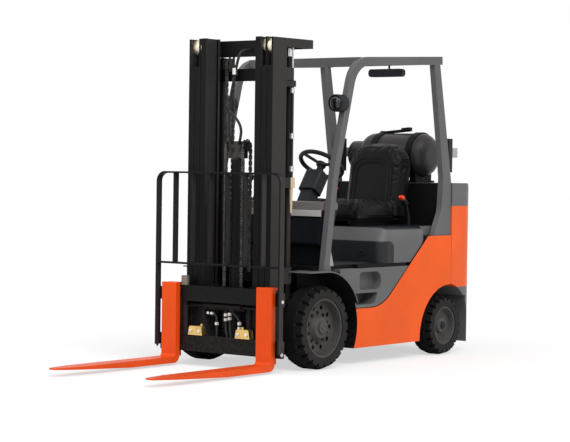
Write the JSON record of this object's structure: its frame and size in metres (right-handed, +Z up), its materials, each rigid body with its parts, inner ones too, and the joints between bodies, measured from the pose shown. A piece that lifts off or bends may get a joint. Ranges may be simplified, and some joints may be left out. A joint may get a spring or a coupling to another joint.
{
  "type": "counterbalance forklift truck",
  "caption": "Gas-powered counterbalance forklift with a telescoping mast, side-shifting fork carriage, overhead guard, seat and rear-wheel steering.",
  "frame": {"origin": "bottom centre of the box around the parked truck, on the ground", "axes": "+X forward along the forks, +Y to the truck's left, +Z up"},
  "size_m": [3.351, 1.076, 2.11],
  "materials": {
    "orange_body": "gloss",
    "orange_fork": "gloss",
    "grey_body": "satin",
    "black_frame": "satin",
    "black_mast": "satin",
    "black_plastic": "matte",
    "seat_vinyl": "matte",
    "tank_paint": "satin",
    "engine_iron": "matte",
    "rubber": "matte",
    "wheel_grey": "satin",
    "roller_steel": "satin",
    "chain_steel": "satin",
    "rod_chrome": "polished",
    "gold_zinc": "satin"
  },
  "bodies": {
    "chassis": {"main_frame": "black_frame", "side_sills": "orange_body", "step_panels": "grey_body", "front_fenders": "grey_body", "floor_plate": "black_frame", "pedals": "black_frame", "front_cowl": "black_plastic", "steering_column": "black_plastic", "control_levers": "black_plastic", "hood": "grey_body", "radiator_cover": "black_frame", "seat_base": "black_frame", "seat_cushion": "seat_vinyl", "seat_back": "seat_vinyl", "counterweight": "orange_body", "guard_left": "grey_body", "guard_right": "grey_body", "guard_roof": "grey_body", "head_lamps": "black_plastic", "rear_lamps": "black_plastic", "mirror": "black_plastic", "gas_tank": "tank_paint", "tank_cradle": "black_frame", "engine": "engine_iron", "drive_axle": "black_frame", "steer_axle": "black_frame"},
    "steering_wheel": {"steering_wheel": "black_plastic"},
    "wheel_front_left": {"disc_front_left": "wheel_grey", "tyre_front_left": "rubber"},
    "wheel_front_right": {"disc_front_right": "wheel_grey", "tyre_front_right": "rubber"},
    "knuckle_left": {"knuckle_left": "black_frame"},
    "knuckle_right": {"knuckle_right": "black_frame"},
    "wheel_rear_left": {"disc_rear_left": "wheel_grey", "tyre_rear_left": "rubber"},
    "wheel_rear_right": {"disc_rear_right": "wheel_grey", "tyre_rear_right": "rubber"},
    "mast_outer": {"mast_outer": "black_mast", "outer_rollers": "roller_steel", "lift_barrels": "black_mast", "mast_hose": "black_mast"},
    "mast_middle": {"mast_middle": "black_mast", "middle_rollers": "roller_steel", "lift_rods": "rod_chrome", "stage_chain_front": "chain_steel", "stage_chain_rear": "chain_steel"},
    "mast_inner": {"mast_inner": "black_mast", "free_barrel": "black_mast"},
    "crosshead": {"crosshead": "rod_chrome", "lift_chain_front": "chain_steel", "lift_chain_rear": "chain_steel"},
    "carriage": {"carriage": "black_mast"},
    "side_shifter": {"side_shifter": "black_mast", "lower_hooks": "gold_zinc", "backrest": "black_mast", "fork_left": "orange_fork", "fork_right": "orange_fork"},
    "tilt_barrels": {"tilt_barrels": "black_frame"},
    "tilt_rods": {"tilt_rods": "rod_chrome"}
  },
  "joints": [
    {"name": "steering_wheel_turn", "type": "hinge", "parent": "chassis", "child": "steering_wheel", "pos_m": [-0.4985, 0, 1.308], "axis": [-0.5736, 0, 0.8192], "continuous": true},
    {"name": "front_left_roll", "type": "hinge", "parent": "chassis", "child": "wheel_front_left", "pos_m": [0.1605, 0.449, 0.2665], "axis": [0, 1, 0], "continuous": true},
    {"name": "front_right_roll", "type": "hinge", "parent": "chassis", "child": "wheel_front_right", "pos_m": [0.1605, -0.449, 0.2665], "axis": [0, 1, 0], "continuous": true},
    {"name": "steer_left", "type": "hinge", "parent": "chassis", "child": "knuckle_left", "pos_m": [-1.2595, 0.372, 0.203], "axis": [0, 0, 1], "range_deg": [-70, 70]},
    {"name": "steer_right", "type": "hinge", "parent": "chassis", "child": "knuckle_right", "pos_m": [-1.2595, -0.372, 0.203], "axis": [0, 0, 1], "range_deg": [-70, 70]},
    {"name": "rear_left_roll", "type": "hinge", "parent": "knuckle_left", "child": "wheel_rear_left", "pos_m": [-1.2595, 0.446, 0.203], "axis": [0, 1, 0], "continuous": true},
    {"name": "rear_right_roll", "type": "hinge", "parent": "knuckle_right", "child": "wheel_rear_right", "pos_m": [-1.2595, -0.446, 0.203], "axis": [0, 1, 0], "continuous": true},
    {"name": "mast_tilt", "type": "hinge", "parent": "chassis", "child": "mast_outer", "pos_m": [0.2705, 0, 0.23], "axis": [0, 1, 0], "range_deg": [-6, 5]},
    {"name": "mast_raise", "type": "slide", "parent": "mast_outer", "child": "mast_middle", "axis": [0, 0, 1], "range_m": [0, 1.6]},
    {"name": "inner_raise", "type": "slide", "parent": "mast_middle", "child": "mast_inner", "axis": [0, 0, 1], "range_m": [0, 1.6], "deforming": ["stage_chain_front"]},
    {"name": "carriage_lift", "type": "slide", "parent": "mast_inner", "child": "carriage", "axis": [0, 0, 1], "range_m": [0, 1.35], "deforming": ["lift_chain_front"]},
    {"name": "crosshead_rise", "type": "slide", "parent": "mast_inner", "child": "crosshead", "axis": [0, 0, 1], "range_m": [0, 0.675]},
    {"name": "side_shift", "type": "slide", "parent": "carriage", "child": "side_shifter", "axis": [0, 1, 0], "range_m": [-0.1, 0.1]},
    {"name": "tilt_barrel_swing", "type": "hinge", "parent": "chassis", "child": "tilt_barrels", "pos_m": [-0.2395, 0.2, 0.545], "axis": [0, 1, 0], "range_deg": [-0.2, 0.2]},
    {"name": "tilt_rod_slide", "type": "slide", "parent": "tilt_barrels", "child": "tilt_rods", "axis": [0.9955, 0, 0.0949], "range_m": [-0.039, 0.033]}
  ],
  "couplings": [
    {"joint": "steer_right", "follows": "steer_left", "ratio": 1},
    {"joint": "inner_raise", "follows": "mast_raise", "ratio": 1},
    {"joint": "crosshead_rise", "follows": "carriage_lift", "ratio": 0.5},
    {"joint": "tilt_barrel_swing", "follows": "mast_tilt", "ratio": -0.0207},
    {"joint": "tilt_rod_slide", "follows": "mast_tilt", "m_per_rad": 0.3613}
  ]
}
